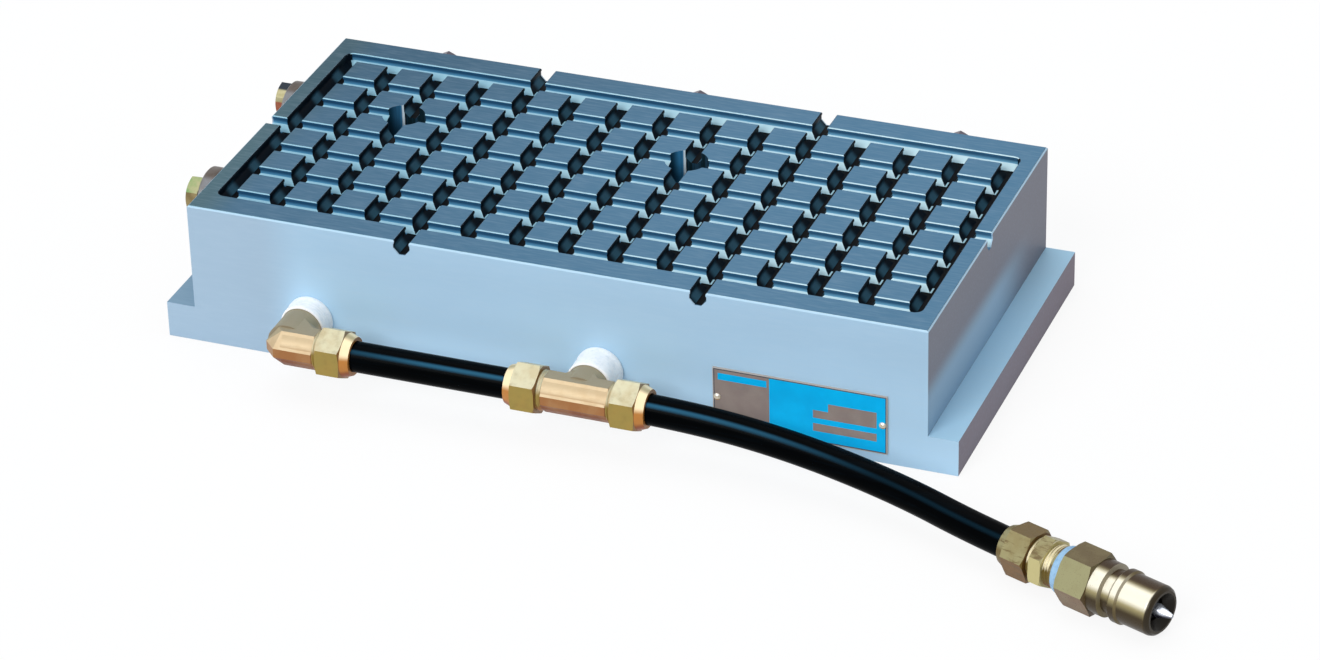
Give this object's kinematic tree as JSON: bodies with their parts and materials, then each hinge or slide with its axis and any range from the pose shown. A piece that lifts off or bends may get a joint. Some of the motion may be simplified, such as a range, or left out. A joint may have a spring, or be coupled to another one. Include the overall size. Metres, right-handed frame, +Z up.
{
  "type": "vacuum chuck",
  "caption": "Flat rectangular vacuum chuck with a grid of sealing grooves, suction holes, clamping flanges, eccentric edge stops and a hose with a plug-in coupling",
  "frame": {"origin": "centre of the block's underside", "axes": "+X along the block's length, +Y from the port side to the stop side, +Z up towards the working face"},
  "size_m": [0.4305, 0.2508, 0.06],
  "materials": {
    "block_steel": "ground, lightly brushed",
    "plate": "printed, matt",
    "rivet": "satin",
    "disc_steel": "turned",
    "zinc_bolt": "yellow zinc plated",
    "brass": "machined and forged, slightly dull",
    "plug_brass": "turned, slightly dull",
    "white_seal": "thread tape, matt",
    "blue_seal": "thread tape, matt",
    "black_nylon": "glossy",
    "black_rubber": "matt",
    "steel": "bright"
  },
  "bodies": {
    "base": {"back_stop_1_bolt": "zinc_bolt", "back_stop_2_bolt": "zinc_bolt", "back_stop_3_bolt": "zinc_bolt", "chuck_body": "block_steel", "connector_body": "brass", "connector_ferrule": "brass", "connector_insert": "brass", "connector_nut": "brass", "coupling_seal": "blue_seal", "elbow_body": "brass", "elbow_ferrule": "brass", "elbow_insert": "brass", "elbow_nut": "brass", "elbow_seal": "white_seal", "end_stop_1_bolt": "zinc_bolt", "end_stop_2_bolt": "zinc_bolt", "hose": "black_nylon", "link_tube": "black_nylon", "name_plate": "plate", "name_plate_rivet_left": "rivet", "name_plate_rivet_right": "rivet", "plug_body": "plug_brass", "poppet_spring": "steel", "spring_retainer": "brass", "tee_body": "brass", "tee_left_ferrule": "brass", "tee_left_insert": "brass", "tee_left_nut": "brass", "tee_right_ferrule": "brass", "tee_right_insert": "brass", "tee_right_nut": "brass", "tee_seal": "white_seal"},
    "end_stop_1": {"end_stop_1_disc": "disc_steel"},
    "end_stop_2": {"end_stop_2_disc": "disc_steel"},
    "back_stop_1": {"back_stop_1_disc": "disc_steel"},
    "back_stop_2": {"back_stop_2_disc": "disc_steel"},
    "back_stop_3": {"back_stop_3_disc": "disc_steel"},
    "valve": {"poppet": "steel", "poppet_seal": "black_rubber"}
  },
  "joints": [
    {"name": "end_stop_1_turn", "type": "hinge", "parent": "base", "child": "end_stop_1", "pos_m": [-0.15455, -0.042, 0.046], "axis": [-1, 0, 0], "continuous": true},
    {"name": "end_stop_2_turn", "type": "hinge", "parent": "base", "child": "end_stop_2", "pos_m": [-0.15455, 0.042, 0.046], "axis": [-1, 0, 0], "continuous": true},
    {"name": "back_stop_1_turn", "type": "hinge", "parent": "base", "child": "back_stop_1", "pos_m": [-0.11, 0.07955, 0.046], "axis": [0, 1, 0], "continuous": true},
    {"name": "back_stop_2_turn", "type": "hinge", "parent": "base", "child": "back_stop_2", "pos_m": [0, 0.07955, 0.046], "axis": [0, 1, 0], "continuous": true},
    {"name": "back_stop_3_turn", "type": "hinge", "parent": "base", "child": "back_stop_3", "pos_m": [0.11, 0.07955, 0.046], "axis": [0, 1, 0], "continuous": true},
    {"name": "valve_push", "type": "slide", "parent": "base", "child": "valve", "axis": [-0.9336, 0.3584, 0], "range_m": [0, 0.0042], "stiffness_N_per_m": 500, "springref_m": -0.005, "deforming": ["poppet_spring"]}
  ]
}
